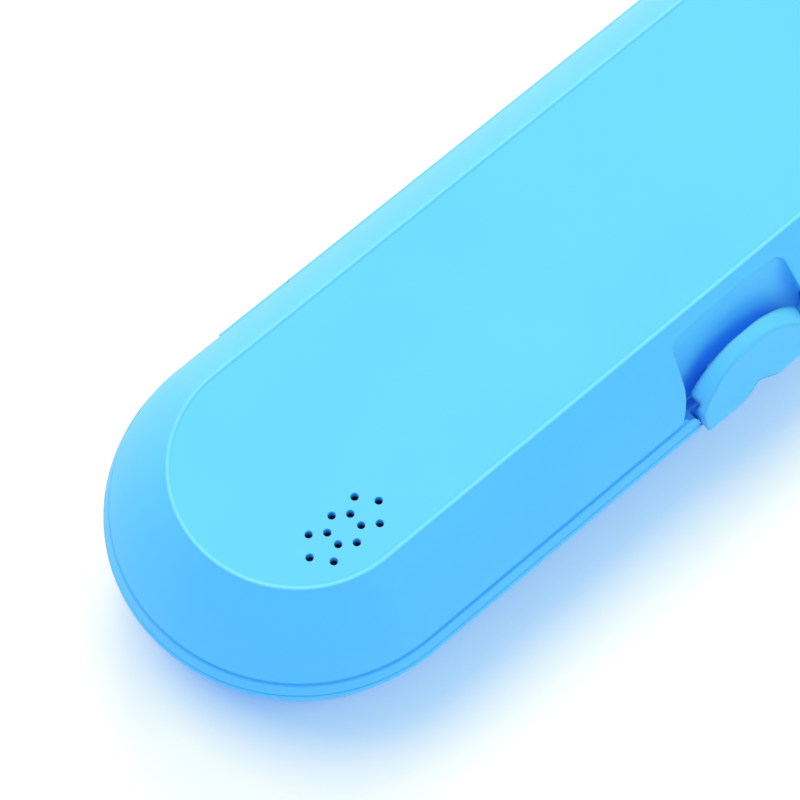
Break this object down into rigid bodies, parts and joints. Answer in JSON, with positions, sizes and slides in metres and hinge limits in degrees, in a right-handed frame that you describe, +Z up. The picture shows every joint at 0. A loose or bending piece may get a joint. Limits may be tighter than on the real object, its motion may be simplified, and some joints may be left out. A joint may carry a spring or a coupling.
{
  "type": "toothbrush case",
  "caption": "Rounded clamshell travel case for an electric toothbrush, with a side hinge, flip latch, vented lid and fitted tray.",
  "frame": {"origin": "centre of the flat underside, where the case rests", "axes": "+X along the case, -Y towards the latch, +Y towards the hinge, +Z up"},
  "size_m": [0.224, 0.0711, 0.0402],
  "materials": {
    "case_plastic": "sky-blue moulded polypropylene with a satin surface",
    "pin_steel": "bright drawn steel wire",
    "tray_plastic": "white moulded plastic",
    "pad_rubber": "soft grey thermoplastic rubber"
  },
  "bodies": {
    "base": {"base_shell": "case_plastic", "hinge_rod": "pin_steel", "latch_pin": "pin_steel", "inner_tray": "tray_plastic", "inner_grip_pad": "pad_rubber", "outer_grip_pad": "pad_rubber", "neck_saddle": "pad_rubber"},
    "lid": {"lid_shell": "case_plastic"},
    "latch": {"latch": "case_plastic"}
  },
  "joints": [
    {"name": "lid_hinge", "type": "hinge", "parent": "base", "child": "lid", "pos_m": [0, 0.0322, 0.02285], "axis": [-1, 0, 0], "range_deg": [0, 115]},
    {"name": "latch_pivot", "type": "hinge", "parent": "base", "child": "latch", "pos_m": [0, -0.0334, 0.0182], "axis": [1, 0, 0], "range_deg": [0, 75]}
  ]
}
